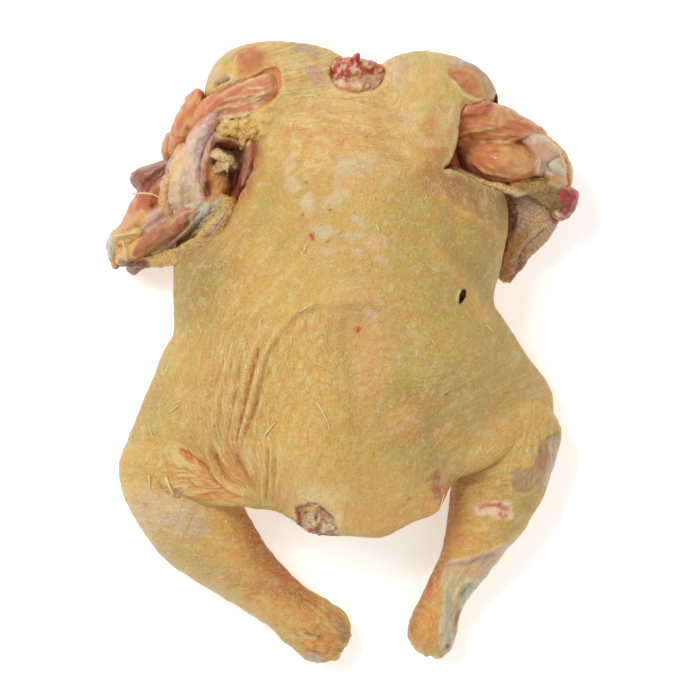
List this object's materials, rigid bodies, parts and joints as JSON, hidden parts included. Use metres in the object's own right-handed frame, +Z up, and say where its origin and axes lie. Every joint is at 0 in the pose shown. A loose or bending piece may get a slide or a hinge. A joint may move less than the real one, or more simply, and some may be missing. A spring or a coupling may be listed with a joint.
{
  "type": "whole raw chicken",
  "caption": "Whole plucked raw chicken lying on its breast: yellow skin, skinned wings, thighs splayed and drumsticks turned in towards each other.",
  "frame": {"origin": "on the lying surface, under the middle of the back", "axes": "+Z up out of the back, +Y towards the neck, +X towards the bird's own right side"},
  "size_m": [0.2112, 0.2777, 0.0868],
  "materials": {
    "skin": "moist yellow poultry skin with follicles and folds",
    "flesh": "moist bare muscle with fine fibres",
    "bone": "wet bone end, cartilage and sinew",
    "quill": "dry pale feather stub"
  },
  "bodies": {
    "root": {"chicken": "skin"}
  },
  "joints": []
}
